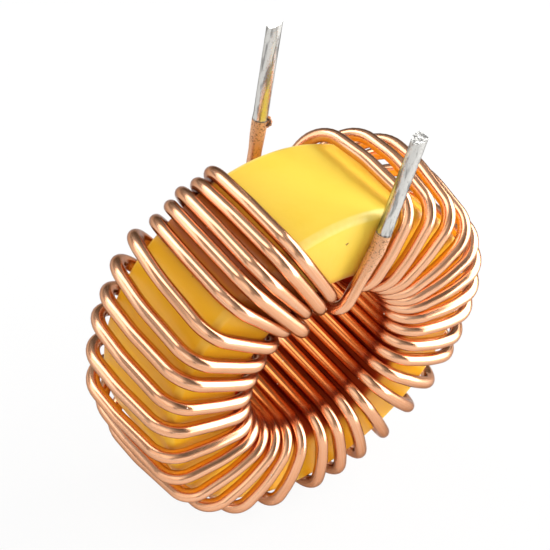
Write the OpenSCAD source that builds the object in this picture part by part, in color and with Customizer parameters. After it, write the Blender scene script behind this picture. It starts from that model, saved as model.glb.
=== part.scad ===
// Toroidal power inductor: a painted powder ring wound with one enamelled copper wire.
// Frame, in mm: origin at the ring's centre, ring axis along Y, front face towards -Y, leads up +Z.
// Angles are measured about Y, from +Z towards +X.

/* [Ring core] */
// outside diameter of the painted ring
core_od = 33; // [20:0.1:60]
// hole diameter of the painted ring
core_id = 19.4; // [10:0.1:40]
// height of the ring along its axis
core_h = 11.3; // [5:0.1:30]
// radius on the ring's four corners
core_edge = 0.6; // [0.2:0.05:1.5]

/* [Wire] */
// diameter over the enamel
wire_d = 1.17; // [0.6:0.01:1.6]
// centreline radius of the bends around the outside of the ring, where the wire lies close
rim_bend = 1.7; // [1:0.05:3]
// how much that radius grows for each mm that the wire bows off the outside
rim_bend_gain = 0.35; // [0:0.05:1]
// centreline radius of the bends into the hole
bore_bend = 1.3; // [1:0.05:3]
// space between the wire and the ring's front face
front_gap = 0.3; // [0.05:0.01:1.5]
// space between the wire and the ring's back face
back_gap = 0.65; // [0.05:0.01:1.5]
// space between the wire and the wall of the hole
bore_gap = 0.95; // [0.05:0.01:1.5]

/* [Front lead] */
// how far the last pass leans in from the wall at its front end
front_pass_lean = 1.75; // [0:0.01:3]
// angle of that front end
front_pass_deg = -8.8; // [-30:0.1:20]
// bend radius where the lead leaves the hole
front_bend = 1.8; // [1:0.05:4]
// angle of the lead across the face
front_climb_deg = 18; // [-20:0.5:45]
// length of that climb
front_climb = 7.6; // [2:0.1:15]
// angle of the straight end
front_lead_deg = 5; // [-20:0.5:20]
// enamelled length of the straight end
front_sleeve = 1.5; // [0:0.05:6]
// radius of the soft bend between the climb and the straight end
front_knee_bend = 4; // [2:0.5:10]

/* [Back lead] */
// angle of the lead, straight from the hole
back_lead_deg = -4.3; // [-20:0.1:20]
// how far it stands off the back runs, along the ring's axis
back_lead_out = 0.6; // [0:0.01:2]
// enamelled length from the hole to the stripped end
back_sleeve = 10.6; // [5:0.1:20]

/* [Lead ends] */
// diameter of the enamel where the heat of soldering has swollen it
scorch_d = 1.42; // [1:0.01:2]
// length over which it swells
scorch_len = 3.2; // [1:0.1:6]
// how much thinner it is half way along that length
scorch_waist = 0.03; // [0:0.01:0.1]
// diameter over the solder
tin_d = 1.33; // [0.8:0.01:2]
// tapered length of the front tinned end, where it grows out of the scorched enamel
front_tin_foot = 2.6; // [0:0.1:6]
// tapered length of the back tinned end
back_tin_foot = 0.6; // [0:0.1:6]
// length of the front tinned end
front_tin_len = 9.7; // [4:0.1:20]
// length of the back tinned end
back_tin_len = 9.9; // [4:0.1:20]
// how far the snipped ridge is off the end's axis
snip_off = 0.35; // [0:0.01:0.6]
// slope of the long cut
snip_deg = 36; // [10:1:60]
// slope of the short cut
snip_short_deg = 60; // [10:1:75]

/* [Hidden] */
$fn = 96;
// sides of the wire and steps in each bend
wire_sides = 8;
bend_steps = 4;

// where each turn's outside run starts at the front face
rim_deg = [
  -27.1, -31.9, -37.8, -42.7, -48.9, -59, -67.6, -74.4,
  -83.3, -92.5, -104, -115.8, -129.4, -143, -156.2, -172,
  -189.6, -199.4, -208.8, -219.7, -232.4, -243.5, -255.7, -263.2,
  -273.7, -282.7, -292.5, -302.3, -312, -325, -335.8, -346
];
// how far round each outside run has slanted by the back face
rim_slant = [
  0, 0, 0, 0, 0.5, 3, 3.5, 0.5,
  -1.5, -2.3, -4, -6.5, 2.5, 0, 0, 0,
  5.9, 6.3, 2, -1.9, -0.4, -4, -5.7, -8.6,
  -5.8, -4.5, -3.9, -5, -5, 0, 2, -1.9
];
// where each pass runs through the hole, the last one leaving as the front lead
bore_deg = [
  -10.3, -19.7, -28.4, -36.3, -43.2, -54, -66.6, -79,
  -92, -104, -117.4, -129.6, -142.6, -155, -165.6, -176,
  -189.5, -200.8, -212.4, -223, -235.1, -246.8, -257.6, -268.8,
  -279.6, -290.2, -300, -308.6, -317.2, -325.8, -335.2, -350,
  -360.5
];
// how far the first passes ride over their neighbours, off the wall and off both faces
ride = [0, 0.4, 0, 0.95];
// how far the wire bows off the outside of the ring at its front and back ends, by angle
front_bow = [
  [-346, 0.9], [-335, 0.6], [-325, 0.9], [-310, 1.3], [-290, 1.4], [-275, 1.7], [-262, 1.8],
  [-243, 1.4], [-232, 1.05], [-200, 1.05], [-190, 0.8], [-172, 0.8], [-156, 0.1], [-130, 0.1],
  [-116, 0.4], [-104, 0.6], [-83, 0.9], [-75, 0.6], [-67, 0.9], [-59, 0.8], [-48, 0.3], [-27, 0.15]
];
back_bow = [
  [-346, 0.9], [-335, 1.2], [-325, 1.6], [-310, 1.6], [-290, 1.4], [-262, 1.7], [-243, 1.3],
  [-232, 1], [-200, 0.95], [-190, 0.7], [-172, 0.8], [-156, 0.1], [-143, 0.15], [-130, 1.9],
  [-116, 1.6], [-104, 1.6], [-83, 1.5], [-75, 1.2], [-67, 1.5], [-59, 1.2], [-48, 0.3], [-27, 0.15]
];

turns = len(rim_deg);
wire_r = wire_d / 2;
bore_r = core_id / 2 - bore_gap - wire_r;
front_y = -(core_h / 2 + front_gap + wire_r);
back_y = core_h / 2 + back_gap + wire_r;
lead_back_y = back_y + back_lead_out;

function polar(r, a, y) = [r * sin(a), y, r * cos(a)];
function level(a) = [sin(a), 0, cos(a)];
function unit(v) = v / norm(v);
function rim_corner(bow, a, y) =
  [polar(core_od / 2 + wire_r + bow, a, y), rim_bend + rim_bend_gain * bow, wire_r];
function lift(i) = i < len(ride) ? ride[i] : 0;
function pass(i, y) = polar(bore_r - lift(i), bore_deg[i], y);

// Corners of the wire's centreline, each with its bend radius and the wire's own radius there.
function turn_corners(i) = [
  [pass(i, front_y - lift(i)), bore_bend, wire_r],
  rim_corner(lookup(rim_deg[i], front_bow), rim_deg[i], front_y),
  rim_corner(lookup(rim_deg[i], back_bow), rim_deg[i] + rim_slant[i], back_y),
  [pass(i + 1, back_y + lift(i + 1)), bore_bend, wire_r]
];
back_foot = pass(0, lead_back_y);
back_strip = back_foot + back_sleeve * level(back_lead_deg);
front_foot = polar(bore_r - front_pass_lean, front_pass_deg, front_y);
front_knee = front_foot + front_climb * level(front_climb_deg);
front_strip = front_knee + front_sleeve * level(front_lead_deg);
back_lead = [
  [back_strip, 0, scorch_d / 2],
  [back_strip - scorch_len / 2 * level(back_lead_deg), 0, (scorch_d + wire_d) / 4 + scorch_waist],
  [back_strip - scorch_len * level(back_lead_deg), 0, wire_r],
  [back_foot, rim_bend, wire_r]
];
front_lead = [
  [front_foot, front_bend, wire_r],
  [front_knee - scorch_len * level(front_climb_deg), 0, wire_r],
  [front_knee, front_knee_bend, scorch_d / 2 - scorch_waist],
  [front_strip, 0, scorch_d / 2]
];
corners = concat(back_lead, [for (i = [0:turns - 1]) each turn_corners(i)], front_lead);

// Rings of the sweep: point, direction and wire radius.
function bend_rings(a, b, c, r, w) =
  let (
    u = unit(a - b),
    v = unit(c - b),
    turn = 180 - acos(u * v),
    mid = b + unit(u + v) * r / cos(turn / 2),
    reach = r * tan(turn / 2),
    e0 = (b + u * reach - mid) / r,
    e1 = (b + v * reach - mid) / r
  )
  [for (k = [0:bend_steps])
    let (s = k / bend_steps)
    [
      mid + r * (sin((1 - s) * turn) * e0 + sin(s * turn) * e1) / sin(turn),
      unit(cos(s * turn) * e1 - cos((1 - s) * turn) * e0),
      w
    ]];
function corner_rings(i) =
  let (
    c = corners[i],
    last = len(corners) - 1,
    a = corners[max(i - 1, 0)][0],
    b = corners[min(i + 1, last)][0]
  )
  c[1] > 0 ? bend_rings(a, c[0], b, c[1], c[2]) : [[c[0], unit(b - a), c[2]]];
rings = [for (i = [0:len(corners) - 1]) each corner_rings(i)];

// Side vectors carried along the wire, so that its facets don't twist.
function square_to(v, t) = unit(v - (v * t) * t);
sides = [
  for (i = 0, s = square_to([0, 1, 0], rings[0][1]);
    i < len(rings);
    i = i + 1, s = i < len(rings) ? square_to(s, rings[i][1]) : s)
    s
];

module core() {
  half = [core_od / 2 - core_id / 2, core_h] / 2;
  color([0.97, 0.82, 0.25])
    rotate([90, 0, 0])
      rotate_extrude()
        translate([core_id / 4 + core_od / 4, 0]) {
          square([2 * (half.x - core_edge), 2 * half.y], center = true);
          square([2 * half.x, 2 * (half.y - core_edge)], center = true);
          for (x = [-1, 1], y = [-1, 1])
            translate([x * (half.x - core_edge), y * (half.y - core_edge)])
              circle(core_edge);
        }
}

// One wire from lead to lead: a sweep along the rings.
module winding() {
  n = len(rings);
  m = wire_sides;
  points = [
    for (i = [0:n - 1])
      let (s = sides[i], t = cross(rings[i][1], s))
      for (k = [0:m - 1])
        rings[i][0] + rings[i][2] * (cos(360 * k / m) * s + sin(360 * k / m) * t)
  ];
  skin = [
    for (i = [0:n - 2], k = [0:m - 1])
      let (a = i * m + k, b = i * m + (k + 1) % m)
      each [[a, b + m, b], [a, a + m, b + m]]
  ];
  start = [for (k = [1:m - 2]) [0, k, k + 1]];
  end = [for (k = [1:m - 2]) [(n - 1) * m, (n - 1) * m + k + 1, (n - 1) * m + k]];
  color([0.72, 0.36, 0.2])
    polyhedron(points, concat(skin, start, end), convexity = 20);
}

// A tinned end standing along +Z from its strip line, tapered at its foot and snipped to a ridge along Y.
module tinned_end(length, foot) {
  top = length;
  low_l = top - (tin_d / 2 + snip_off) * tan(snip_deg);
  low_r = top - (tin_d / 2 - snip_off) * tan(snip_short_deg);
  difference() {
    union() {
      cylinder(d1 = scorch_d, d2 = tin_d, h = foot);
      translate([0, 0, foot])
        cylinder(d = tin_d, h = length - foot);
    }
    rotate([90, 0, 0])
      linear_extrude(height = 2 * tin_d, center = true)
        polygon([
          [-tin_d, low_l - tin_d / 2 * tan(snip_deg)],
          [snip_off, top],
          [tin_d, low_r - tin_d / 2 * tan(snip_short_deg)],
          [tin_d, top + tin_d],
          [-tin_d, top + tin_d]
        ]);
  }
}

module front_tin() {
  color([0.82, 0.82, 0.8])
    translate(front_strip)
      rotate([0, front_lead_deg, 0])
        tinned_end(front_tin_len, front_tin_foot);
}

module back_tin() {
  color([0.82, 0.82, 0.8])
    translate(back_strip)
      rotate([0, back_lead_deg, 0])
        tinned_end(back_tin_len, back_tin_foot);
}

core();
winding();
front_tin();
back_tin();
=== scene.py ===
"""A toroidal power inductor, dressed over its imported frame.

One enamelled copper wire is swept round a painted powder ring and leaves it as two tinned leads.
The part's lengths are in millimetres until MM turns them into metres. Lamps and the floor are in metres.
"""

import logging
import math
from dataclasses import dataclass, field
from enum import Enum
from typing import Any, Iterable, Mapping, Sequence

import bmesh
import bpy
from mathutils import Matrix, Vector, noise

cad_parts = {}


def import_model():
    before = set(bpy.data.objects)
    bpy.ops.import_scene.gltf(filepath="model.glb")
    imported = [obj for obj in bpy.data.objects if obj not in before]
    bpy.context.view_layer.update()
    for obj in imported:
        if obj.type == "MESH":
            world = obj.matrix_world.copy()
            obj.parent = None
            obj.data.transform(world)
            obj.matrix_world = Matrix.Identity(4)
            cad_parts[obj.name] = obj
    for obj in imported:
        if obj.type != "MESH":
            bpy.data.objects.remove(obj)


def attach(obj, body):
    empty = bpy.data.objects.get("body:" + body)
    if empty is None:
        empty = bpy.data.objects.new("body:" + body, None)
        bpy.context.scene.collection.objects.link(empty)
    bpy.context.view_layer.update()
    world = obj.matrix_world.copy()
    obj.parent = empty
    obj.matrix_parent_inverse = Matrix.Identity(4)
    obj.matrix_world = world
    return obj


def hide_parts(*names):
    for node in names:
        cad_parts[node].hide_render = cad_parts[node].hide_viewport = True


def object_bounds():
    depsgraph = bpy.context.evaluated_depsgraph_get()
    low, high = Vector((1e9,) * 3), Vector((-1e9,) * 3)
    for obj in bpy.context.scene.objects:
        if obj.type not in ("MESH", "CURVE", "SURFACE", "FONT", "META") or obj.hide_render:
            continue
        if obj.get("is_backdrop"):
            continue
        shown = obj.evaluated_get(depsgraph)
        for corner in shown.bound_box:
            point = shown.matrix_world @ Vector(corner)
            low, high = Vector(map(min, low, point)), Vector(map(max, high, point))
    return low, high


MM = 0.001
BODY = "root"
NOISE_OCTAVES = 3
STRAIGHT = 0.001  # the turn, in radians, under which a corner gets no bend
BEAD_OFFSET = (0.46, -0.33, -0.2)  # from the back lead's strip line
log = logging.getLogger("inductor")

Table = Sequence[tuple[float, float]]


class Slot(Enum):
    """The material slots."""

    PAINT = "core_paint"
    COPPER = "enamelled_copper"
    SOLDER = "solder_tin"


# ---------------------------------------------------------------- small maths


def between(table: Table, at: float) -> float:
    """Reads a table of (place, value) pairs, straight between its places.

    Args:
        table: Pairs in rising order of place.
        at: The place to read.

    Returns:
        The value there, held level past both ends.
    """
    if at <= table[0][0]:
        return table[0][1]
    for (x0, v0), (x1, v1) in zip(table, table[1:]):
        if at <= x1:
            return v0 + (v1 - v0) * (at - x0) / (x1 - x0)
    return table[-1][1]


def polar(radius: float, angle: float, y: float) -> Vector:
    """A point by its radius and its angle in degrees about Y, from +Z towards +X."""
    a = math.radians(angle)
    return Vector((radius * math.sin(a), y, radius * math.cos(a)))


def level(angle: float) -> Vector:
    """The unit vector square to Y at that angle in degrees."""
    return polar(1.0, angle, 0.0)


def rough(place: Vector, grain: float) -> float:
    """Smooth noise from about -1 to 1, with features about grain millimetres across."""
    return noise.fractal(place / grain, 1.0, 2.0, NOISE_OCTAVES, noise_basis="PERLIN_ORIGINAL")


# ---------------------------------------------------------------- node trees


class Number:
    """A number socket that takes part in Python arithmetic.

    Args:
        kit: The node kit that owns the tree.
        socket: The output socket that carries the number.
    """

    def __init__(self, kit: "NodeKit", socket: bpy.types.NodeSocket) -> None:
        self.kit = kit
        self.socket = socket

    def _maths(self, operation: str, *values: Any) -> "Number":
        """Adds one Math node.

        Args:
            operation: What it works out.
            values: Its inputs, as numbers, sockets or Numbers.

        Returns:
            The node's output.
        """
        made = self.kit.node(
            self.kit.maths, {"operation": operation}, dict(enumerate(values))
        )
        return Number(self.kit, made.outputs[0])

    def __add__(self, other: Any) -> "Number":
        """self + other."""
        return self._maths("ADD", self, other)

    __radd__ = __add__

    def __sub__(self, other: Any) -> "Number":
        """self - other."""
        return self._maths("SUBTRACT", self, other)

    def __rsub__(self, other: Any) -> "Number":
        """other - self."""
        return self._maths("SUBTRACT", other, self)

    def __mul__(self, other: Any) -> "Number":
        """self * other."""
        return self._maths("MULTIPLY", self, other)

    def __gt__(self, other: Any) -> "Number":
        """1 where self is over other, and 0 elsewhere."""
        return self._maths("GREATER_THAN", self, other)

    def larger(self, other: Any) -> "Number":
        """The larger of the two."""
        return self._maths("MAXIMUM", self, other)

    def rise(self, start: float, end: float) -> "Number":
        """Eases from 0 at start to 1 at end. With end below start it falls."""
        made = self.kit.node(
            "ShaderNodeMapRange",
            {"interpolation_type": "SMOOTHSTEP"},
            {"Value": self, "From Min": start, "From Max": end},
        )
        return Number(self.kit, made.outputs[0])


class NodeKit:
    """Builds the nodes of one tree.

    Args:
        tree: The shader or geometry tree.
    """

    maths = "ShaderNodeMath"

    def __init__(self, tree: bpy.types.NodeTree) -> None:
        """Keeps the tree."""
        self.tree = tree

    def node(
        self,
        kind: str,
        settings: Mapping[str, Any] | None = None,
        inputs: Mapping[Any, Any] | None = None,
    ) -> bpy.types.Node:
        """Adds a node.

        Args:
            kind: The node's type.
            settings: Its own settings, set before its sockets.
            inputs: Values, sockets or numbers by the input's name or place.

        Returns:
            The node.
        """
        made = self.tree.nodes.new(kind)
        for name, value in (settings or {}).items():
            setattr(made, name, value)
        for key, value in (inputs or {}).items():
            socket = self._input(made, key)
            if isinstance(value, Number):
                value = value.socket
            if isinstance(value, bpy.types.NodeSocket):
                self.tree.links.new(value, socket)
            else:
                socket.default_value = value
        return made

    @staticmethod
    def _input(made: bpy.types.Node, key: Any) -> bpy.types.NodeSocket:
        """The enabled input of that name or place."""
        if isinstance(key, int):
            return made.inputs[key]
        return next(s for s in made.inputs if s.name == key and s.enabled)

    def number(self, kind: str, *args: Any, output: int | str = 0) -> Number:
        """A node's output as a number."""
        return Number(self, self.node(kind, *args).outputs[output])


class ShaderKit(NodeKit):
    """Adds the shader nodes that every finish uses."""

    def place(self, grain: float) -> bpy.types.NodeSocket:
        """Object coordinates, one unit every grain millimetres."""
        coords = self.node("ShaderNodeTexCoord").outputs["Object"]
        return self.node(
            "ShaderNodeVectorMath",
            {"operation": "SCALE"},
            {"Vector": coords, "Scale": 1 / (grain * MM)},
        ).outputs[0]

    def attribute(self, name: str) -> Number:
        """A number stored on the mesh."""
        return self.number("ShaderNodeAttribute", {"attribute_name": name}, output="Fac")

    def cloud(self, vector: bpy.types.NodeSocket, detail: float = 3.0) -> Number:
        """Soft noise round 0.5."""
        return self.number(
            "ShaderNodeTexNoise", None, {"Vector": vector, "Scale": 1.0, "Detail": detail}
        )

    def specks(self, grain: float, size: float, share: float) -> Number:
        """Scattered dots.

        Args:
            grain: The dots' mean spacing.
            size: Their radius as a share of that spacing.
            share: The share of the places that has one.

        Returns:
            1 in a dot, and 0 elsewhere.
        """
        cells = self.node("ShaderNodeTexVoronoi", None, {"Vector": self.place(grain), "Scale": 1.0})
        chosen = self.node("ShaderNodeSeparateColor", None, {"Color": cells.outputs["Color"]})
        lucky = Number(self, chosen.outputs[0]) > 1 - share
        spot = Number(self, cells.outputs["Distance"]).rise(size, size * 0.6)
        return lucky * spot

    def mix(self, factor: Any, a: Any, b: Any) -> bpy.types.NodeSocket:
        """Mixes two colours.

        Args:
            factor: 0 gives a, and 1 gives b.
            a: A colour triple or socket.
            b: A colour triple or socket.

        Returns:
            The mixed colour's socket.
        """
        made = self.node("ShaderNodeMix", {"data_type": "RGBA"}, {0: factor})
        for place, value in ((6, a), (7, b)):
            if isinstance(value, tuple):
                made.inputs[place].default_value = (*value, 1.0)
            else:
                self.tree.links.new(value, made.inputs[place])
        return made.outputs[2]

    def bump(self, height: Any, depth: float) -> bpy.types.NodeSocket:
        """A normal from a height of 0 to 1 that stands depth millimetres."""
        return self.node(
            "ShaderNodeBump", None, {"Strength": 1.0, "Distance": depth * MM, "Height": height}
        ).outputs[0]


# ---------------------------------------------------------------- finishes


@dataclass(frozen=True)
class Finish:
    """One material.

    Attributes:
        name: The material's name.
        slot: The slot that it belongs to.
    """

    name: str
    slot: Slot

    def build(self) -> bpy.types.Material:
        """Makes the material.

        Returns:
            The material, with its whole tree built.
        """
        material = bpy.data.materials.new(self.name)
        material.use_nodes = True
        material.node_tree.nodes.clear()
        kit = ShaderKit(material.node_tree)
        surface = kit.node("ShaderNodeBsdfPrincipled", None, self.sockets(kit))
        kit.node("ShaderNodeOutputMaterial", None, {"Surface": surface.outputs[0]})
        return material

    def sockets(self, kit: ShaderKit) -> dict[str, Any]:
        """What goes into the Principled shader's sockets."""
        raise NotImplementedError


@dataclass(frozen=True)
class EnamelledCopper(Finish):
    """Clear enamel on drawn copper, scorched towards the stripped ends.

    Attributes:
        copper: The drawn copper under its enamel.
        pale: The copper along its brighter draw lines.
        hole_shade: Painted shade: the darker, redder copper deep in the ring's hole.
        enamel: What the clear coat lets through.
        limb: The tint of mirrored light at the wire's edges.
        scorched: The browned enamel below a stripped end.
        char: The black specks in it.
        dust: The dust on the wire.
        hole_shade_r: The radii where the hole's painted shade begins and where it is full.
        hole_shade_y: The distances from the ring's middle plane where the painted shade begins and where it
            is full.
        draw_turns: How many draw lines lie round the wire.
        draw_run: How fast they change along it, for each millimetre.
        cloud_grain: The size of the soft clouds.
        grit_grain: The size of the scorch's grit.
        dust_grain: The mean spacing of the dust.
    """

    copper: tuple[float, float, float] = (0.86, 0.445, 0.25)
    pale: tuple[float, float, float] = (0.94, 0.6, 0.42)
    hole_shade: tuple[float, float, float] = (0.7, 0.22, 0.055)
    enamel: tuple[float, float, float] = (0.97, 0.86, 0.74)
    limb: tuple[float, float, float] = (0.22, 0.14, 0.11)
    scorched: tuple[float, float, float] = (0.76, 0.43, 0.24)
    char: tuple[float, float, float] = (0.08, 0.025, 0.01)
    dust: tuple[float, float, float] = (0.95, 0.9, 0.82)
    hole_shade_r: tuple[float, float] = (9.6, 9.2)
    hole_shade_y: tuple[float, float] = (6.0, 2.0)
    draw_turns: float = 5.0
    draw_run: float = 0.12
    cloud_grain: float = 2.2
    grit_grain: float = 0.16
    dust_grain: float = 0.9

    def sockets(self, kit: ShaderKit) -> dict[str, Any]:
        """Fine draw lines along the wire, faint clouds, dust, and the speckled scorch.

        Args:
            kit: The tree's kit.

        Returns:
            The Principled shader's inputs by name.
        """
        burn = kit.attribute("burn")
        hoop = kit.node("ShaderNodeAttribute", {"attribute_name": "hoop"}).outputs["Vector"]
        split = kit.node("ShaderNodeSeparateXYZ", None, {0: hoop})
        x, y = (Number(kit, split.outputs[k]) * self.draw_turns for k in (0, 1))
        run = kit.attribute("along") * self.draw_run
        lines = kit.node("ShaderNodeCombineXYZ", None, {0: x, 1: y, 2: run}).outputs[0]
        drawn = kit.cloud(lines, 2.0)
        cloud = kit.cloud(kit.place(self.cloud_grain))
        grit = kit.cloud(kit.place(self.grit_grain), 2.0)
        colour = kit.mix(drawn.rise(0.35, 0.7) * 0.6, self.copper, self.pale)
        # painted shade: darker, redder copper deep in the ring's hole
        colour = kit.mix(self._hole_shade_share(kit), colour, self.hole_shade)
        colour = kit.mix(burn * (0.75 + cloud * 0.4), colour, self.scorched)
        colour = kit.mix(burn * grit.rise(0.52, 0.64) * 0.75, colour, self.char)
        specks = kit.specks(self.dust_grain, 0.09, 0.12)
        colour = kit.mix(specks * 0.8, colour, self.dust)
        gloss = 0.2 + drawn.rise(0.3, 0.75) * 0.07
        return {
            "Base Color": colour,
            "Metallic": 1 - (burn * 0.8).larger(specks),
            "Roughness": (gloss + burn * 0.3).larger(specks * 0.7),
            "Coat Weight": 0.35 - burn * 0.25,
            "Coat Roughness": 0.12,
            "Coat IOR": 1.4,
            "Coat Tint": (*self.enamel, 1.0),
            "Specular Tint": (*self.limb, 1.0),
            "Normal": kit.bump(drawn * 0.6 + burn * grit * 4.0, 0.006),
        }

    def _hole_shade_share(self, kit: ShaderKit) -> Number:
        """1 deep in the ring's hole, where painted shade makes the enamel darker and redder, and 0 outside
        it.

        Args:
            kit: The tree's kit.

        Returns:
            That share.
        """
        place = kit.place(1.0)
        y = Number(kit, kit.node("ShaderNodeSeparateXYZ", None, {0: place}).outputs[1])
        flat = kit.node(
            "ShaderNodeVectorMath", {"operation": "MULTIPLY"}, {0: place, 1: (1.0, 0.0, 1.0)}
        ).outputs[0]
        radius = kit.number("ShaderNodeVectorMath", {"operation": "LENGTH"}, {0: flat}, output=1)
        mouth, full = self.hole_shade_y
        return radius.rise(*self.hole_shade_r) * (y * y).rise(mouth * mouth, full * full)


@dataclass(frozen=True)
class RingPaint(Finish):
    """Glossy yellow paint, paler over the ring's edges from thin paint and a painted highlight, with grit
    under it, and painted shade under and between the turns and in the hole.

    Attributes:
        yellow: The paint.
        deep: The paint where it is thick.
        edge_pale_and_highlight: The paler paint over the ring's edges, partly thin paint and partly a painted
            highlight.
        covered: Painted shade under the spread turns, warm with painted light bounced off the copper.
        pinched: Painted red-brown shade between the crowded turns.
        hole_shade: Painted dark shade in the hole.
        grit: Grit and marks.
        marks: The dark marks, as (x, y, z, radius).
        cloud_grain: The size of the clouds in the paint.
        skin_grain: The size of its uneven skin.
        grit_grain: The mean spacing of the grit.
    """

    yellow: tuple[float, float, float] = (0.97, 0.69, 0.08)
    deep: tuple[float, float, float] = (0.95, 0.61, 0.04)
    edge_pale_and_highlight: tuple[float, float, float] = (0.98, 0.84, 0.34)
    covered: tuple[float, float, float] = (0.98, 0.53, 0.015)
    pinched: tuple[float, float, float] = (0.62, 0.16, 0.01)
    hole_shade: tuple[float, float, float] = (0.62, 0.07, 0.005)
    grit: tuple[float, float, float] = (0.30, 0.10, 0.01)
    marks: tuple[tuple[float, float, float, float], ...] = (
        (-1.58, -5.65, 14.15, 0.16),
        (-12.97, -0.48, 10.2, 0.12),
        (-14.95, -4.85, 6.98, 0.16),
        (3.19, 4.63, 16.19, 0.13),
        (0.88, -3.94, 16.48, 0.08),
    )
    cloud_grain: float = 6.0
    skin_grain: float = 0.55
    grit_grain: float = 2.6

    def sockets(self, kit: ShaderKit) -> dict[str, Any]:
        """Cloudy yellow, a paler edge, the listed marks and fine grit.

        Args:
            kit: The tree's kit.

        Returns:
            The Principled shader's inputs by name.
        """
        cloud = kit.cloud(kit.place(self.cloud_grain))
        skin = kit.cloud(kit.place(self.skin_grain), 2.0)
        edge = kit.attribute("edge")
        colour = kit.mix(cloud.rise(0.35, 0.7) * 0.5, self.yellow, self.deep)
        # painted shade and painted copper bounce light on the paint under the spread turns
        covered = kit.attribute("covered")
        colour = kit.mix(covered, colour, self.covered)
        # pale edges, partly thin paint and partly a painted highlight, weaker where the turns shade them
        colour = kit.mix(edge * (0.2 + skin * 0.4) * (1 - covered * 0.8), colour, self.edge_pale_and_highlight)
        # painted shade between the crowded turns
        colour = kit.mix(kit.attribute("pinched"), colour, self.pinched)
        # painted shade in the hole
        colour = kit.mix(kit.attribute("hole"), colour, self.hole_shade)
        spots = kit.specks(self.grit_grain, 0.05, 0.25)
        for x, y, z, size in self.marks:
            spots = spots.larger(self._mark(kit, (x, y, z), size))
        colour = kit.mix(spots * 0.85, colour, self.grit)
        return {
            "Base Color": colour,
            "Metallic": 0.0,
            "Roughness": (0.28 + skin * 0.12).larger(kit.attribute("hole") * 0.9),
            "Specular IOR Level": 0.3,
            "Normal": kit.bump(cloud * 2.0 + skin * 0.5 - spots * 1.0, 0.03),
        }

    @staticmethod
    def _mark(kit: ShaderKit, centre: tuple[float, float, float], size: float) -> Number:
        """One ragged dark mark.

        Args:
            kit: The tree's kit.
            centre: Its middle.
            size: Its radius.

        Returns:
            1 in the mark, and 0 elsewhere.
        """
        gap = kit.number(
            "ShaderNodeVectorMath", {"operation": "DISTANCE"}, {0: kit.place(1.0), 1: centre}, output=1
        )
        ragged = gap + (kit.cloud(kit.place(0.2), 1.0) - 0.5) * size * 2.0
        return ragged.rise(size, size * 0.5)


@dataclass(frozen=True)
class BrightTin(Finish):
    """Solder that ran along the stripped copper and set.

    Attributes:
        tin: Bright solder.
        grey: Its dull streaks.
        limb: The tint of mirrored light at the lead's edges.
        flux: The burnt flux along the strip line and in the pits.
        streak_grain: The streaks' width.
        streak_run: The streaks' width as a share of their length.
        pit_grain: The size of the pits.
    """

    tin: tuple[float, float, float] = (0.70, 0.69, 0.66)
    grey: tuple[float, float, float] = (0.22, 0.215, 0.21)
    limb: tuple[float, float, float] = (0.30, 0.29, 0.28)
    flux: tuple[float, float, float] = (0.08, 0.05, 0.03)
    streak_grain: float = 0.35
    streak_run: float = 0.16
    pit_grain: float = 0.14

    def sockets(self, kit: ShaderKit) -> dict[str, Any]:
        """Streaks along the end, pits, and a ragged dark flux line where it starts.

        Args:
            kit: The tree's kit.

        Returns:
            The Principled shader's inputs by name.
        """
        run = kit.node(
            "ShaderNodeVectorMath",
            {"operation": "MULTIPLY"},
            {0: kit.place(self.streak_grain), 1: (1.0, 1.0, self.streak_run)},
        ).outputs[0]
        streak = kit.cloud(run)
        pits = kit.cloud(kit.place(self.pit_grain), 2.0)
        above = kit.attribute("above")
        line = (above + (pits - 0.5) * 0.5).rise(0.22, 0.02)
        colour = kit.mix(streak.rise(0.46, 0.62) * 0.75, self.tin, self.grey)
        colour = kit.mix((line * 0.9).larger(pits.rise(0.62, 0.72) * 0.5), colour, self.flux)
        return {
            "Base Color": colour,
            "Metallic": 1 - line * 0.8,
            "Roughness": 0.12 + streak * 0.14 + line * 0.3,
            "Specular Tint": (*self.limb, 1.0),
            "Normal": kit.bump(streak + pits * 0.4, 0.05),
        }


@dataclass(frozen=True)
class BurntFlux(Finish):
    """Flux and enamel that boiled up and set dark."""

    amber: tuple[float, float, float] = (0.62, 0.23, 0.05)
    char: tuple[float, float, float] = (0.07, 0.015, 0.008)
    grain: float = 0.4

    def sockets(self, kit: ShaderKit) -> dict[str, Any]:
        """Amber running into black, glossy where it is dark.

        Args:
            kit: The tree's kit.

        Returns:
            The Principled shader's inputs by name.
        """
        cloud = kit.cloud(kit.place(self.grain))
        dark = cloud.rise(0.42, 0.6)
        return {
            "Base Color": kit.mix(dark, self.amber, self.char),
            "Metallic": 0.0,
            "Roughness": 0.5 - dark * 0.25,
            "Coat Weight": 0.4,
            "Coat Roughness": 0.1,
            "Normal": kit.bump(cloud, 0.05),
        }


# ---------------------------------------------------------------- meshes


def settle(mesh: bpy.types.Mesh, name: str, finish: bpy.types.Material) -> bpy.types.Object:
    """Puts a finished mesh into the scene at the origin.

    Args:
        mesh: The mesh, in metres.
        name: The object's name.
        finish: Its material.

    Returns:
        The object.
    """
    mesh.name = name
    mesh.materials.clear()
    mesh.materials.append(finish)
    made = bpy.data.objects.new(name, mesh)
    bpy.context.scene.collection.objects.link(made)
    return made


def numbers(mesh: bpy.types.Mesh, name: str, values: Sequence[float]) -> None:
    """Stores one number for each vertex."""
    mesh.attributes.new(name, "FLOAT", "POINT").data.foreach_set("value", list(values))


@dataclass(frozen=True)
class Corner:
    """A corner of the wire's centreline.

    Attributes:
        place: Where the two straights would meet.
        bend: The centreline radius of the bend, or 0 for a plain point.
        radius: The wire's own radius there.
        burn: How scorched the enamel is, from 0 to 1.
    """

    place: Vector
    bend: float
    radius: float
    burn: float = 0.0


@dataclass(frozen=True)
class Station:
    """A point of the finished centreline, with the wire's radius and scorch there."""

    place: Vector
    radius: float
    burn: float


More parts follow.
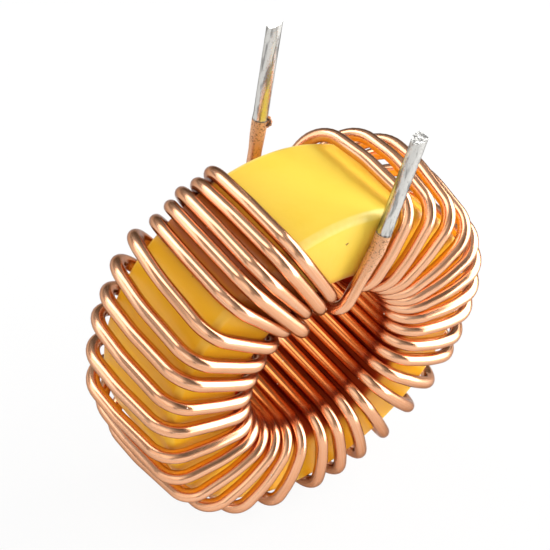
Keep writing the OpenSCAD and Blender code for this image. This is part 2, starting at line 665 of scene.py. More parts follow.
@dataclass
class WireCoil:
    """The wire, from the back lead's strip line through 32 turns to the front lead's.

    Angles are in degrees about Y, from +Z towards +X, and the tables are read by them. A turn starts in
    the hole, runs out over the front face, along the rim and back over the back face.

    Attributes:
        ring_r, hole_r, half_h, edge_r: The solid ring that the turns are laid round.
        wire_r: The wire's radius over its enamel.
        girth: How much thicker than that the plain wire is drawn.
        bore_bend, widest_bend, middle_bend, puff_bend: The bends at the hole, at the rim's two edges, along
            the rim and along the front run.
        bend_fit: How much of the room at the rim a bend takes.
        front_gap, back_gap, bore_gap: How far the wire lies off the ring's faces and off its hole.
        back_lead_bend, back_lead_deg, back_lead_out, back_sleeve: The back lead's first bend, its lean,
            how far behind the turns it stands and its length to the strip line.
        front_pass_lean, front_pass_deg, front_bend: Where the front lead leaves the hole, and its bend there.
        front_climb_deg, front_climb: The front lead's slope over the front face, and its length.
        front_knee_bend, front_lead_deg, front_sleeve: Its second bend, its last lean and its length to
            the strip line.
        scorch_r, scorch_len, scorch_waist: The swollen enamel's radius and length, and how far it dips.
        back_burn, front_burn: How scorched the leads are, corner by corner.
        sides, bend_steps, straight_step: How finely the sweep is cut.
        blister, blister_scale, blister_seed: The scorch's lumps: their height, their size and their seed.
        ride: How far the first passes ride over their neighbours.
        rim_deg, rim_slant: Where each turn meets the rim in front, and how far it turns until the back.
        bore_deg: Where each pass goes through the hole.
        front_bow, middle_bow, back_bow: How far the runs stand off the rim in front, in the middle and
            behind.
        front_puff: How far the middle of a front run stands out.
        back_rise: How far a back run stands out at the rim.
    """

    ring_r: float = 16.5
    hole_r: float = 9.7
    half_h: float = 5.65
    wire_r: float = 0.585
    edge_r: float = 0.6
    back_lead_bend: float = 1.7
    widest_bend: float = 3.8
    middle_bend: float = 12.0
    puff_bend: float = 14.0
    bend_fit: float = 0.96
    bore_bend: float = 2.9
    girth: float = 1.08
    front_gap: float = 0.3
    back_gap: float = 0.65
    bore_gap: float = 0.95
    back_lead_deg: float = -4.3
    back_lead_out: float = 0.6
    back_sleeve: float = 10.6
    front_pass_lean: float = 1.75
    front_pass_deg: float = -8.8
    front_bend: float = 1.8
    front_climb_deg: float = 18.0
    front_climb: float = 7.6
    front_knee_bend: float = 4.0
    front_lead_deg: float = 5.0
    front_sleeve: float = 1.5
    scorch_r: float = 0.71
    scorch_len: float = 3.2
    scorch_waist: float = 0.03
    back_burn: tuple[float, ...] = (1.0, 0.8, 0.35)
    front_burn: tuple[float, ...] = (0.1, 0.75, 1.0)
    sides: int = 28
    bend_steps: int = 11
    straight_step: float = 1.1
    blister: float = 0.16
    blister_scale: float = 1100.0
    blister_seed: float = 3.0
    ride: tuple[float, ...] = (0, 0.4, 0, 0.95)
    rim_deg: tuple[float, ...] = (
        -27.1, -31.9, -37.8, -42.7, -48.9, -59, -67.6, -74.4,
        -83.3, -92.5, -104, -115.8, -129.4, -143, -156.2, -172,
        -189.6, -199.4, -208.8, -219.7, -232.4, -243.5, -255.7, -263.2,
        -273.7, -282.7, -292.5, -302.3, -312, -325, -335.8, -346,
    )  # fmt: skip
    rim_slant: tuple[float, ...] = (
        0, -0.5, 0.5, 0.5, 1.1, 4.8, 4.2, 1,
        2.5, -0.5, 0, 1.7, 3.2, 0, 0, 0,
        5, 5, 2, -2, -0.4, -3, -5.6, -6,
        -4.5, -2, 0, -1, -3, 2, 1, -1.5,
    )  # fmt: skip
    bore_deg: tuple[float, ...] = (
        -10.3, -19.7, -28.4, -36.3, -43.2, -54, -66.6, -79,
        -92, -104, -117.4, -129.6, -142.6, -155, -165.6, -176,
        -189.5, -200.8, -212.4, -223, -235.1, -246.8, -257.6, -268.8,
        -279.6, -290.2, -300, -308.6, -317.2, -325.8, -335.2, -350, -360.5,
    )  # fmt: skip
    front_bow: Table = (
        (-346, 0.6), (-335, 0.5), (-325, 0.75), (-312, 1.0), (-302, 1.1), (-292, 1.5), (-283, 1.7),
        (-256, 1.6), (-243, 1.5), (-200, 1.5), (-190, 0.9), (-172, 0.5), (-143, 0.6), (-129, 0.3),
        (-104, 0.5), (-59, 0.6),
    )  # fmt: skip
    middle_bow: Table = (
        (-346, 1.1), (-335, 1.6), (-325, 2.05), (-312, 2.1), (-302, 2.5), (-292, 2.4), (-283, 2.0),
        (-276, 1.66), (-266, 1.62), (-258, 1.9), (-243, 1.8), (-200, 1.3), (-187, 0.56), (-172, 0.56),
        (-156, 0.95), (-143, 1.0), (-129, 1.25), (-115, 1.0), (-104, 1.25), (-93, 1.15), (-82, 1.3),
        (-74, 1.2), (-65, 1.75), (-57, 2.1), (-48, 1.3), (-27, 1.0),
    )  # fmt: skip
    back_bow: Table = (
        (-346, 0.7), (-335, 1.3), (-323, 2.2), (-314, 1.8), (-302, 2.2), (-292, 2.0), (-284, 1.6),
        (-256, 1.2), (-243, 1.0), (-195, 0.8), (-187, 0.54), (-172, 0.54), (-143, 0.85), (-127, 1.5),
        (-114, 1.05), (-104, 1.4), (-93, 1.15), (-81, 1.3), (-73, 0.95), (-63, 1.5), (-54, 1.8),
        (-48, 0.9), (-27, 0.7),
    )  # fmt: skip
    front_puff: Table = (
        (-346, 0.3), (-312, 0.45), (-240, 0.6), (-172, 0.6), (-143, 0.5), (-116, 0.3), (-92, 0.15),
        (-48, 0.1),
    )  # fmt: skip
    back_rise: Table = (
        (-104, 0.2), (-93, 0.35), (-81, 0.4), (-73, 0.7), (-63, 0.7), (-54, 0.35), (-48, 0.2),
    )  # fmt: skip

    @property
    def front_y(self) -> float:
        """The plane of the front runs' centreline."""
        return -(self.half_h + self.front_gap + self.wire_r)

    @property
    def back_y(self) -> float:
        """The plane of the back runs' centreline."""
        return self.half_h + self.back_gap + self.wire_r

    @property
    def pass_r(self) -> float:
        """The radius of the passes through the hole."""
        return self.hole_r - self.bore_gap - self.wire_r

    def lift(self, i: int) -> float:
        """How far pass i rides over its neighbours."""
        return self.ride[i] if i < len(self.ride) else 0.0

    def _pass(self, i: int, y: float) -> Vector:
        """Where pass i meets the plane at y."""
        return polar(self.pass_r - self.lift(i), self.bore_deg[i], y)

    def _rim(self, bow: float, angle: float, y: float) -> Corner:
        """A corner round the outside of the ring, as round as the ring's edge lets it be.

        Args:
            bow: How far the run stands off the rim.
            angle: Where it is, in degrees.
            y: The plane of the run that it leads to.

        Returns:
            The corner.
        """
        gap = abs(y) - self.half_h - self.wire_r
        widest = self.edge_r + self.wire_r + bow + gap + math.sqrt(2 * bow * gap)
        bend = min(widest * self.bend_fit, self.widest_bend)
        return Corner(polar(self.ring_r + self.wire_r + bow, angle, y), bend, self.wire_r)

    def _turn(self, i: int) -> list[Corner]:
        """Lays out one turn.

        Args:
            i: The turn's number, from 0.

        Returns:
            Its six corners: the hole, the front face, the rim three times, and the hole again.
        """
        front = self._pass(i, self.front_y - self.lift(i))
        back = self._pass(i + 1, self.back_y + self.lift(i + 1))
        start = self.rim_deg[i]
        end = start + self.rim_slant[i]
        middle = (start + end) / 2
        rise = between(self.back_rise, end)
        belly = polar(self.ring_r + self.wire_r + between(self.middle_bow, middle), middle, rise / 2)
        rim = self._rim(between(self.front_bow, start), start, self.front_y)
        puff = Vector((0, between(self.front_puff, start), 0))
        return [
            Corner(front, self.bore_bend, self.wire_r),
            Corner(front.lerp(rim.place, 0.5) - puff, self.puff_bend, self.wire_r),
            rim,
            Corner(belly, self.middle_bend, self.wire_r),
            self._rim(between(self.back_bow, end), end, self.back_y + rise),
            Corner(back, self.bore_bend, self.wire_r),
        ]

    def strips(self) -> tuple[Vector, Vector]:
        """The strip lines of the front and the back lead."""
        front, back = self.corners()[-1], self.corners()[0]
        return front.place, back.place

    def corners(self) -> list[Corner]:
        """Lays out the whole wire.

        Returns:
            The centreline's corners, from the back lead to the front one.
        """
        foot = self._pass(0, self.back_y + self.back_lead_out)
        up = level(self.back_lead_deg)
        strip = foot + up * self.back_sleeve
        waist = (self.scorch_r + self.wire_r) / 2 + self.scorch_waist
        end, half, start = self.back_burn
        lead = [
            Corner(strip, 0.0, self.scorch_r, end),
            Corner(strip - up * self.scorch_len / 2, 0.0, waist, half),
            Corner(strip - up * self.scorch_len, 0.0, self.wire_r, start),
            Corner(foot, self.back_lead_bend, self.wire_r),
        ]
        turns = [c for i in range(len(self.rim_deg)) for c in self._turn(i)]
        foot = polar(self.pass_r - self.front_pass_lean, self.front_pass_deg, self.front_y)
        climb = level(self.front_climb_deg)
        knee = foot + climb * self.front_climb
        start, half, end = self.front_burn
        out = [
            Corner(foot, self.front_bend, self.wire_r),
            Corner(knee - climb * self.scorch_len, 0.0, self.wire_r, start),
            Corner(knee, self.front_knee_bend, self.scorch_r - self.scorch_waist, half),
            Corner(knee + level(self.front_lead_deg) * self.front_sleeve, 0.0, self.scorch_r, end),
        ]
        return lead + turns + out

    def _bend(self, a: Vector, corner: Corner, b: Vector) -> list[Station]:
        """The stations of one round bend.

        Args:
            a: The corner before it.
            corner: The corner that the bend rounds off.
            b: The corner after it.

        Returns:
            The bend's stations, or the corner alone where the line runs straight on.
        """
        u, v = (a - corner.place).normalized(), (b - corner.place).normalized()
        turn = math.pi - u.angle(v)
        if turn < STRAIGHT:
            return [Station(corner.place, corner.radius, corner.burn)]
        mid = corner.place + (u + v).normalized() * corner.bend / math.cos(turn / 2)
        reach = corner.bend * math.tan(turn / 2)
        e0 = (corner.place + u * reach - mid) / corner.bend
        e1 = (corner.place + v * reach - mid) / corner.bend
        made = []
        for k in range(self.bend_steps + 1):
            s = k / self.bend_steps
            arm = (e0 * math.sin((1 - s) * turn) + e1 * math.sin(s * turn)) / math.sin(turn)
            made.append(Station(mid + arm * corner.bend, corner.radius, corner.burn))
        return made

    def stations(self) -> list[Station]:
        """Rounds the corners and cuts the straights into short steps.

        Returns:
            The whole centreline.
        """
        corners = self.corners()
        raw: list[Station] = []
        for i, corner in enumerate(corners):
            if corner.bend:
                raw += self._bend(corners[i - 1].place, corner, corners[i + 1].place)
            else:
                raw.append(Station(corner.place, corner.radius, corner.burn))
        fine = [raw[0]]
        for a, b in zip(raw, raw[1:]):
            steps = max(1, round((b.place - a.place).length / self.straight_step))
            for k in range(1, steps + 1):
                s = k / steps
                fine.append(
                    Station(
                        a.place.lerp(b.place, s),
                        a.radius + (b.radius - a.radius) * s,
                        a.burn + (b.burn - a.burn) * s,
                    )
                )
        return fine

    def _line(self) -> bpy.types.Object:
        """Draws the centreline.

        Returns:
            A chain of edges that carries the centreline's numbers.
        """
        route = self.stations()
        mesh = bpy.data.meshes.new("wire_route")
        edges = [(i, i + 1) for i in range(len(route) - 1)]
        mesh.from_pydata([s.place * MM for s in route], edges, [])
        along = [0.0]
        for a, b in zip(route, route[1:]):
            along.append(along[-1] + (b.place - a.place).length)
        numbers(mesh, "along", along)
        full = self.girth - 1
        numbers(mesh, "swell", [s.radius / self.wire_r * (1 + full * (1 - s.burn)) for s in route])
        numbers(mesh, "burn", [s.burn for s in route])
        made = bpy.data.objects.new("wire_route", mesh)
        bpy.context.scene.collection.objects.link(made)
        return made

    def _tree(self) -> bpy.types.NodeTree:
        """The geometry tree that sweeps a round wire along a chain of edges.

        Returns:
            The tree, with its sizes as named inputs.
        """
        tree = bpy.data.node_groups.new("sweep_wire", "GeometryNodeTree")
        face = tree.interface
        face.new_socket("Geometry", in_out="OUTPUT", socket_type="NodeSocketGeometry")
        for name, kind in (
            ("Geometry", "NodeSocketGeometry"),
            ("Wire radius", "NodeSocketFloat"),
            ("Sides", "NodeSocketInt"),
            ("Blister height", "NodeSocketFloat"),
            ("Blister scale", "NodeSocketFloat"),
            ("Blister seed", "NodeSocketFloat"),
            ("Finish", "NodeSocketMaterial"),
        ):
            face.new_socket(name, in_out="INPUT", socket_type=kind)
        kit = NodeKit(tree)
        given = kit.node("NodeGroupInput").outputs
        line = kit.node("GeometryNodeMeshToCurve", None, {"Mesh": given["Geometry"]})
        circle = kit.node(
            "GeometryNodeCurvePrimitiveCircle", None, {"Resolution": given["Sides"], "Radius": 1.0}
        )
        hoop = kit.node(
            "GeometryNodeStoreNamedAttribute",
            {"data_type": "FLOAT_VECTOR", "domain": "POINT"},
            {
                "Geometry": circle.outputs[0],
                "Name": "hoop",
                "Value": kit.node("GeometryNodeInputPosition").outputs[0],
            },
        )
        swell = kit.number("GeometryNodeInputNamedAttribute", {"data_type": "FLOAT"}, {"Name": "swell"})
        tube = kit.node(
            "GeometryNodeCurveToMesh",
            None,
            {
                "Curve": line.outputs[0],
                "Profile Curve": hoop.outputs[0],
                "Scale": swell * given["Wire radius"],
                "Fill Caps": True,
            },
        )
        burn = kit.number("GeometryNodeInputNamedAttribute", {"data_type": "FLOAT"}, {"Name": "burn"})
        lumps = kit.number(
            "ShaderNodeTexNoise",
            {"noise_dimensions": "4D"},
            {"W": given["Blister seed"], "Scale": given["Blister scale"], "Detail": 2.0},
        )
        rise = (lumps - 0.5) * burn * given["Blister height"]
        push = kit.node(
            "ShaderNodeVectorMath",
            {"operation": "SCALE"},
            {"Vector": kit.node("GeometryNodeInputNormal").outputs[0], "Scale": rise},
        )
        lumpy = kit.node(
            "GeometryNodeSetPosition", None, {"Geometry": tube.outputs[0], "Offset": push.outputs[0]}
        )
        smooth = kit.node("GeometryNodeSetShadeSmooth", None, {"Geometry": lumpy.outputs[0]})
        solid = kit.node("GeometryNodeRealizeInstances", None, {"Geometry": smooth.outputs[0]})
        dressed = kit.node(
            "GeometryNodeSetMaterial",
            None,
            {"Geometry": solid.outputs[0], "Material": given["Finish"]},
        )
        kit.node("NodeGroupOutput", None, {0: dressed.outputs[0]})
        return tree

    def build(self, finish: bpy.types.Material) -> bpy.types.Object:
        """Sweeps the wire.

        Args:
            finish: The wire's material.

        Returns:
            The wire as a plain mesh object.
        """
        line = self._line()
        tree = self._tree()
        modifier = line.modifiers.new("sweep", "NODES")
        modifier.node_group = tree
        inputs = {
            "Wire radius": self.wire_r * MM,
            "Sides": self.sides,
            "Blister height": self.blister * MM,
            "Blister scale": self.blister_scale,
            "Blister seed": self.blister_seed,
            "Finish": finish,
        }
        for item in tree.interface.items_tree:
            if item.in_out == "INPUT" and item.name in inputs:
                modifier[item.identifier] = inputs[item.name]
        graph = bpy.context.evaluated_depsgraph_get()
        mesh = bpy.data.meshes.new_from_object(line.evaluated_get(graph), depsgraph=graph)
        line.modifiers.remove(modifier)
        bpy.data.objects.remove(line)
        return settle(mesh, "wire", finish)


@dataclass
class PaintedRing:
    """The powder ring under its paint, turned about Y with soft unevenness.

    Attributes:
        outer_r, hole_r, half_h, edge_r: Its radii, half its height and the radius of its edges.
        round_steps, flat_steps, segments: How finely it is cut.
        sag: How deep the paint's skin dips.
        grain: The size of the dips.
        turn_shade_angles: The share of painted shade and painted copper bounce light under the spread turns,
            by angle.
        gap_shade_angles: The share of red-brown painted shade between the crowded turns, by angle.
        depth: The share of painted shade in the hole, by radius.
    """

    outer_r: float = 16.64
    hole_r: float = 9.7
    half_h: float = 5.7
    edge_r: float = 0.7
    round_steps: int = 7
    flat_steps: int = 12
    segments: int = 300
    sag: float = 0.05
    grain: float = 4.5
    turn_shade_angles: Table = ((12, 0.0), (24, 0.85), (326, 0.85), (335, 0.0))
    gap_shade_angles: Table = ((308, 0.0), (314, 0.9), (330, 0.9), (333.5, 0.0))
    depth: Table = ((9.75, 1.0), (10.6, 0.0))

    def _section(self) -> list[tuple[float, float, float]]:
        """Draws the ring's section.

        Returns:
            The closed section as (radius, y, edge), edge being 1 on the round corners.
        """
        made: list[tuple[float, float, float]] = []
        spots = [
            (self.outer_r, -self.half_h, -90),
            (self.outer_r, self.half_h, 0),
            (self.hole_r, self.half_h, 90),
            (self.hole_r, -self.half_h, 180),
        ]
        for r, y, first in spots:
            cr = r - self.edge_r if r > self.hole_r else r + self.edge_r
            cy = y - math.copysign(self.edge_r, y)
            for k in range(self.round_steps + 1):
                s = k / self.round_steps
                a = math.radians(first + 90 * s)
                edge = math.sin(math.pi * s) ** 0.5 if 0 < k < self.round_steps else 0.0
                made.append((cr + self.edge_r * math.cos(a), cy + self.edge_r * math.sin(a), edge))
        return self._fill(made)

    def _fill(self, rounds: list[tuple[float, float, float]]) -> list[tuple[float, float, float]]:
        """Adds points on the four flats between the rounds.

        Args:
            rounds: The points of the four rounds, in order.

        Returns:
            The rounds with the flats' points between them.
        """
        made: list[tuple[float, float, float]] = []
        size = self.round_steps + 1
        for i, spot in enumerate(rounds):
            made.append(spot)
            if i % size == size - 1:
                r1, y1, _ = rounds[(i + 1) % len(rounds)]
                for k in range(1, self.flat_steps):
                    s = k / self.flat_steps
                    made.append((spot[0] + (r1 - spot[0]) * s, spot[1] + (y1 - spot[1]) * s, 0.0))
        return made

    def build(self, finish: bpy.types.Material) -> bpy.types.Object:
        """Turns the section into the ring.

        Args:
            finish: The paint.

        Returns:
            The ring's object.
        """
        section = self._section()
        points: list[Vector] = []
        shares: dict[str, list[float]] = {"edge": [], "covered": [], "pinched": [], "hole": []}
        middle = (self.outer_r + self.hole_r) / 2
        for k in range(self.segments):
            angle = 360 * k / self.segments
            for r, y, edge in section:
                place = polar(r, angle, y)
                inward = polar(middle, angle, 0.0) - place
                dip = (0.5 + 0.5 * rough(place, self.grain)) * self.sag
                points.append((place + inward.normalized() * max(dip, 0.0)) * MM)
                shares["edge"].append(edge)
                # painted shade under the spread turns
                shares["covered"].append(between(self.turn_shade_angles, angle))
                # painted shade between the crowded turns
                shares["pinched"].append(between(self.gap_shade_angles, angle))
                # painted shade in the hole
                shares["hole"].append(between(self.depth, r))
        n = len(section)
        faces = []
        for k in range(self.segments):
            here, there = k * n, (k + 1) % self.segments * n
            for j in range(n):
                m = (j + 1) % n
                faces.append((here + j, here + m, there + m, there + j))
        mesh = bpy.data.meshes.new("ring")
        mesh.from_pydata(points, [], faces)
        for name, values in shares.items():
            numbers(mesh, name, values)
        mesh.polygons.foreach_set("use_smooth", [True] * len(faces))
        outward(mesh)
        return settle(mesh, "ring", finish)


def outward(mesh: bpy.types.Mesh) -> None:
    """Turns a closed mesh's faces outwards.

    Args:
        mesh: The mesh, changed in place.
    """
    work = bmesh.new()
    work.from_mesh(mesh)
    bmesh.ops.recalc_face_normals(work, faces=work.faces)
    work.to_mesh(mesh)
    work.free()


@dataclass
class TinnedEnd:
    """A tinned end that tapers from the scorched enamel and is snipped to a ridge.

    Attributes:
        name: The piece's name.
        strip: The strip line's middle.
        lean: The end's lean in degrees about Y.
        length: Its length from the strip line.
        foot: The length of its taper.
        radius, foot_r: Its plain radius, and the radius at the strip line.
        snip_off: How far the ridge lies off the middle.
        snip_deg, snip_short_deg: The slopes of the ridge's long and short flats.
        sides, step: How finely it is cut.
        ripple: How deep the solder's skin dips.
        ripple_grain, ripple_run: The ripples' width, and that width as a share of their length.
    """

    name: str
    strip: Vector
    lean: float
    length: float
    foot: float
    radius: float = 0.665
    foot_r: float = 0.71
    snip_off: float = 0.35
    snip_deg: float = 36.0
    snip_short_deg: float = 60.0
    sides: int = 36
    step: float = 0.22
    ripple: float = 0.02
    ripple_grain: float = 0.6
    ripple_run: float = 0.3

    def _radius(self, up: float, place: Vector) -> float:
        """The skin's radius at that height, never over the solid's.

        Args:
            up: The height over the strip line.
            place: Where the ripple's noise is read.

        Returns:
            The radius.
        """
        base = self.foot_r + (self.radius - self.foot_r) * min(up / self.foot, 1.0)
        along = Vector((place.x, place.y, place.z * self.ripple_run))
        return base - self.ripple * (0.5 + 0.5 * rough(along, self.ripple_grain))

    def build(self, finish: bpy.types.Material) -> bpy.types.Object:
        """Turns, snips and places the end.

        Args:
            finish: The solder.

        Returns:
            The end's object.
        """
        rows = math.ceil(self.length / self.step)
        work = bmesh.new()
        rings = []
        for j in range(rows + 1):
            up = self.length * j / rows
            ring = []
            for k in range(self.sides):
                turn = math.tau * k / self.sides
                out = Vector((math.cos(turn), math.sin(turn), 0))
                lift = Vector((0, 0, up))
                skin = self._radius(up, out * self.radius + lift)
                ring.append(work.verts.new(out * skin + lift))
            rings.append(ring)
        for low, high in zip(rings, rings[1:]):
            for k in range(self.sides):
                m = (k + 1) % self.sides
                work.faces.new((low[k], low[m], high[m], high[k])).smooth = True
        work.faces.new(reversed(rings[0]))
        work.faces.new(rings[-1])
        for side, slope in ((-1, self.snip_deg), (1, self.snip_short_deg)):
            self._snip(work, side, slope)
        mesh = bpy.data.meshes.new(self.name)
        work.to_mesh(mesh)
        work.free()
        numbers(mesh, "above", [v.co.z for v in mesh.vertices])
        lean = Matrix.Rotation(math.radians(self.lean), 4, "Y")
        mesh.transform(Matrix.Scale(MM, 4) @ Matrix.Translation(self.strip) @ lean)
        outward(mesh)
        return settle(mesh, self.name, finish)

    def _snip(self, work: bmesh.types.BMesh, side: int, slope: float) -> None:
        """Cuts one flat of the ridge.

        Args:
            work: The end, standing along +Z.
            side: -1 for the flat towards -X, 1 for the one towards +X.
            slope: The flat's slope in degrees.
        """
        a = math.radians(slope)
        cut = bmesh.ops.bisect_plane(
            work,
            geom=[*work.verts, *work.edges, *work.faces],
            plane_co=(self.snip_off, 0, self.length),
            plane_no=(side * math.sin(a), 0, math.cos(a)),
            clear_outer=True,
        )
        rim = [e for e in cut["geom_cut"] if isinstance(e, bmesh.types.BMEdge)]
        for face in bmesh.ops.edgeloop_fill(work, edges=rim)["faces"]:
            face.smooth = False
        for edge in rim:
            edge.smooth = False


@dataclass
class FluxBead:
    """A boiled-up bead of flux beside the back lead's strip line.

    Attributes:
        place: Its middle.
        radius: Its mean radius.
        lumps: The height of its lumps, as a share of the radius.
        grain: The lumps' width, as a share of the radius.
        drift: Where the lumps' noise is read.
    """

    place: Vector
    radius: float = 0.5
    lumps: float = 0.4
    grain: float = 0.9
    drift: tuple[float, float, float] = (2.0, 7.0, 1.0)

    def build(self, finish: bpy.types.Material) -> bpy.types.Object:
        """Makes the bead.

        Args:
            finish: The burnt flux.

        Returns:
            The bead's object.
        """
        work = bmesh.new()
        bmesh.ops.create_icosphere(work, subdivisions=4, radius=1.0)
        for v in work.verts:
            v.co *= self.radius * (1 + self.lumps * rough(v.co + Vector(self.drift), self.grain))
            v.co = (v.co + self.place) * MM
        for face in work.faces:
            face.smooth = True
        mesh = bpy.data.meshes.new("flux_bead")
        work.to_mesh(mesh)
        work.free()
        return settle(mesh, "flux_bead", finish)


# ---------------------------------------------------------------- studio


@dataclass(frozen=True)
class SoftBox:
    """A soft rectangular lamp aimed at the part.

    Attributes:
        name: The lamp's name.
        towards: The direction from the part to the lamp.
        along: The direction of the lamp's long side.
        distance: How far off it stands, in metres.
        size: Its width and length, in metres.
        glow: Its brightness, where 1 is mirrored as plain white.
        tint: Its colour.
    """

    name: str
    towards: tuple[float, float, float]
    along: tuple[float, float, float]
    distance: float
    size: tuple[float, float]
    glow: float
    tint: tuple[float, float, float] = (1.0, 1.0, 1.0)

    def build(self) -> bpy.types.Object:
        """Hangs the lamp.

        Returns:
            The lamp's object.
        """
        lamp = bpy.data.lights.new(self.name, "AREA")
        lamp.shape = "RECTANGLE"
        lamp.size, lamp.size_y = self.size
        lamp.energy = self.glow * math.pi * self.size[0] * self.size[1]
        lamp.color = self.tint
        back = Vector(self.towards).normalized()
        side = Vector(self.along).cross(back).normalized()
        turned = Matrix((side, back.cross(side), back)).transposed().to_4x4()
        made = bpy.data.objects.new(self.name, lamp)
        made.matrix_world = Matrix.Translation(back * self.distance) @ turned
        bpy.context.scene.collection.objects.link(made)
        return made


@dataclass(frozen=True)
class Flag:
    """A dark patch in the tent, which the metal mirrors as a dark band.

    Attributes:
        towards: The direction from the part to its middle.
        full_deg: How far from its middle it is at its darkest.
        gone_deg: Where it has faded out.
        depth: The share of the tent's light that it takes away.
    """

    towards: tuple[float, float, float]
    full_deg: float
    gone_deg: float
    depth: float


@dataclass(frozen=True)
class Studio:
    """The floor, the lamps, the surroundings and the camera.

    Attributes:
        aim: The place in the middle of the view, in millimetres.
        distance: How far off the camera stands, in millimetres.
        azimuth, elevation, roll: Its angles, in degrees.
        lens, sensor, clip: Its focal length and sensor in millimetres, and its clipping distances in
            metres.
        floor_z: The floor's height, in millimetres.
        floor_size: Its side, in metres.
        floor_grey: Its colour where light falls on it.
        seen_white: How much of what the camera sees behind the part is plain white.
        mirrored_white: How much of what the part mirrors there is plain white.
        tent_low, tent_high: The tent's brightness straight down and straight up.
        lamps: The lamps.
        flags: The dark patches in the tent.
    """

    aim: tuple[float, float, float] = (0.192, 3.436, 3.417)
    distance: float = 120.0
    azimuth: float = -45.08
    elevation: float = 36.86
    roll: float = 14.23
    lens: float = 84.316
    sensor: float = 36.0
    clip: tuple[float, float] = (0.01, 20.0)
    floor_z: float = -18.32
    floor_size: float = 3.0
    floor_grey: float = 0.8
    seen_white: float = 0.93
    mirrored_white: float = 0.1
    tent_low: float = 0.2
    tent_high: float = 0.32
    lamps: tuple[SoftBox, ...] = field(default_factory=tuple)
    flags: tuple[Flag, ...] = field(default_factory=tuple)

    def camera(self) -> bpy.types.Object:
        """Stands the camera at the part's viewing angle.

        Returns:
            The camera's object.
        """
        a, e = math.radians(self.azimuth), math.radians(self.elevation)
        back = Vector((math.sin(a) * math.cos(e), -math.cos(a) * math.cos(e), math.sin(e)))
        turned = (-back).to_track_quat("-Z", "Y").to_matrix().to_4x4()
        turned = turned @ Matrix.Rotation(math.radians(self.roll), 4, "Z")
        data = bpy.data.cameras.new("camera")
        data.lens, data.sensor_width = self.lens, self.sensor
        data.clip_start, data.clip_end = self.clip
        made = bpy.data.objects.new("camera", data)
        made.matrix_world = Matrix.Translation((Vector(self.aim) + back * self.distance) * MM) @ turned
        bpy.context.scene.collection.objects.link(made)
        bpy.context.scene.camera = made
        return made

    def floor(self) -> bpy.types.Object:
        """Lays a plain pale floor that keeps a soft shadow.

        Returns:
            The floor's object.
        """
        material = bpy.data.materials.new("pale_floor")
        material.use_nodes = True
        material.node_tree.nodes.clear()
        kit = ShaderKit(material.node_tree)
        grey = (self.floor_grey, self.floor_grey, self.floor_grey, 1)
        lit = kit.node("ShaderNodeBsdfDiffuse", None, {"Color": grey})
        white = kit.node("ShaderNodeEmission", None, {"Color": (1, 1, 1, 1), "Strength": 1.0})
        both = kit.node(
            "ShaderNodeMixShader",
            None,
            {0: self._backdrop(kit), 1: lit.outputs[0], 2: white.outputs[0]},
        )
        kit.node("ShaderNodeOutputMaterial", None, {"Surface": both.outputs[0]})
        half = self.floor_size / 2
        sides = ((-half, -half), (half, -half), (half, half), (-half, half))
        mesh = bpy.data.meshes.new("floor")
        mesh.from_pydata([(x, y, self.floor_z * MM) for x, y in sides], [], [(0, 1, 2, 3)])
        made = settle(mesh, "floor", material)
        made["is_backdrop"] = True
        return made

    def _backdrop(self, kit: ShaderKit) -> Number:
        """The share of plain white that a ray finds behind the part.

        Args:
            kit: The floor's or the tent's kit.

        Returns:
            That share.
        """
        rays = kit.node("ShaderNodeLightPath").outputs
        seen, through, mirrored = (
            Number(kit, rays[name])
            for name in ("Is Camera Ray", "Is Transmission Ray", "Is Glossy Ray")
        )
        return (seen.larger(through) * self.seen_white).larger(mirrored * self.mirrored_white)

    def surroundings(self) -> None:
        """A pale tent with dark flags, white where the camera sees it."""
        world = bpy.data.worlds.new("tent")
        bpy.context.scene.world = world
        world.use_nodes = True
        world.node_tree.nodes.clear()
        kit = ShaderKit(world.node_tree)
        way = kit.node("ShaderNodeTexCoord").outputs["Generated"]
        glow = Number(kit, kit.node("ShaderNodeSeparateXYZ", None, {0: way}).outputs[2]).rise(-1.0, 1.0)
        glow = self.tent_low + glow * (self.tent_high - self.tent_low)
        for flag in self.flags:
            facing = kit.number(
                "ShaderNodeVectorMath",
                {"operation": "DOT_PRODUCT"},
                {0: way, 1: Vector(flag.towards).normalized()},
                output=1,
            )
            inner, outer = (math.cos(math.radians(a)) for a in (flag.full_deg, flag.gone_deg))
            glow = glow * (1 - facing.rise(outer, inner) * flag.depth)
        tent = kit.node("ShaderNodeBackground", None, {0: (1, 1, 1, 1), 1: glow})
        white = kit.node("ShaderNodeBackground", None, {0: (1, 1, 1, 1), 1: 1.0})
        both = kit.node(
            "ShaderNodeMixShader",
            None,
            {0: self._backdrop(kit), 1: tent.outputs[0], 2: white.outputs[0]},
        )
        kit.node("ShaderNodeOutputWorld", None, {0: both.outputs[0]})

    def build(self) -> None:
        """Sets everything up."""
        self.camera()
        self.floor()
        self.surroundings()
        for lamp in self.lamps:
            lamp.build()
        bpy.context.scene.view_settings.view_transform = "Standard"


VIEW_UP = (0.238, 0.585, 0.776)
WARM = (1.0, 0.97, 0.93)

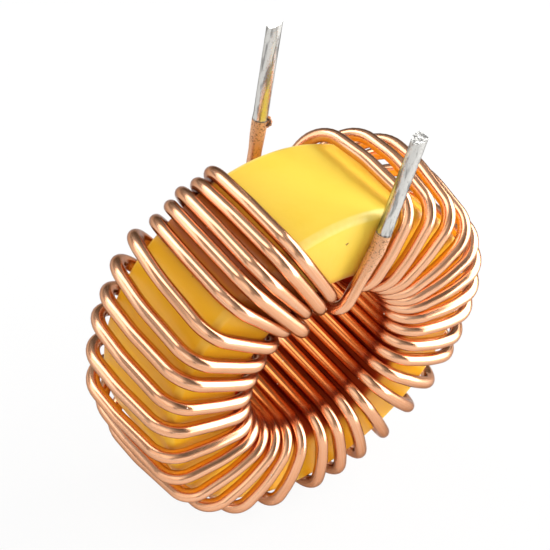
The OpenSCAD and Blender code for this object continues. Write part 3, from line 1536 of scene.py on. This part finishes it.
LAMPS = (
    SoftBox("key", (0.84, -0.38, 0.386), VIEW_UP, 0.28, (0.26, 0.5), 5.4),
    SoftBox("top", (-0.35, 0.50, 0.79), (0.0, 0.84, -0.53), 0.3, (0.13, 0.28), 2.8),
    SoftBox("front", (-0.58, -0.58, 0.57), VIEW_UP, 0.35, (0.22, 0.3), 0.5),
    SoftBox("low", (-0.1, -0.97, 0.10), (1.0, 0.0, 0.0), 0.35, (0.1, 0.26), 0.8),
    SoftBox("fill", (-0.90, -0.38, 0.20), (0.0, 0.0, 1.0), 0.35, (0.42, 0.42), 0.75, WARM),
    SoftBox("rim", (-0.62, 0.62, 0.2), VIEW_UP, 0.3, (0.12, 0.4), 1.6),
)

FLAGS = (
    Flag((0.45, -0.55, 0.70), 20, 36, 0.95),
    Flag((-0.61, -0.75, 0.25), 14, 34, 0.7),
    Flag((0.80, 0.60, 0.0), 30, 55, 0.8),
)


def adopt(piece: bpy.types.Object, slot: Slot, *nodes: str) -> None:
    """Ties a piece to the frame.

    Args:
        piece: The finished piece.
        slot: Not used.
        nodes: The CAD nodes that it stands for.
    """
    if nodes:
        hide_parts(*nodes)
    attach(piece, BODY)
    log.info("%s: %d faces", piece.name, len(piece.data.polygons))


def corners_of(box: Iterable[Vector]) -> list[list[float]]:
    """A box as plain lists."""
    return [list(v) for v in box]


def main() -> None:
    """Builds the part, its looks and the studio."""
    logging.basicConfig(level=logging.INFO, format="%(name)s: %(message)s")
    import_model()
    cad = corners_of(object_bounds())
    coil = WireCoil()
    adopt(coil.build(EnamelledCopper("copper_enamel", Slot.COPPER).build()), Slot.COPPER, "winding")
    adopt(PaintedRing().build(RingPaint("ring_paint", Slot.PAINT).build()), Slot.PAINT, "core")
    solder = BrightTin("bright_tin", Slot.SOLDER).build()
    front, back = coil.strips()
    for end in (
        TinnedEnd("front_end", front, coil.front_lead_deg, length=9.7, foot=2.6),
        TinnedEnd("back_end", back, coil.back_lead_deg, length=9.9, foot=0.6),
    ):
        adopt(end.build(solder), Slot.SOLDER, end.name.replace("end", "tin"))
    bead = FluxBead(back + Vector(BEAD_OFFSET))
    adopt(bead.build(BurntFlux("burnt_flux", Slot.COPPER).build()), Slot.COPPER)
    Studio(floor_z=cad[0][2] / MM, lamps=LAMPS, flags=FLAGS).build()


if __name__ == "__main__":
    main()
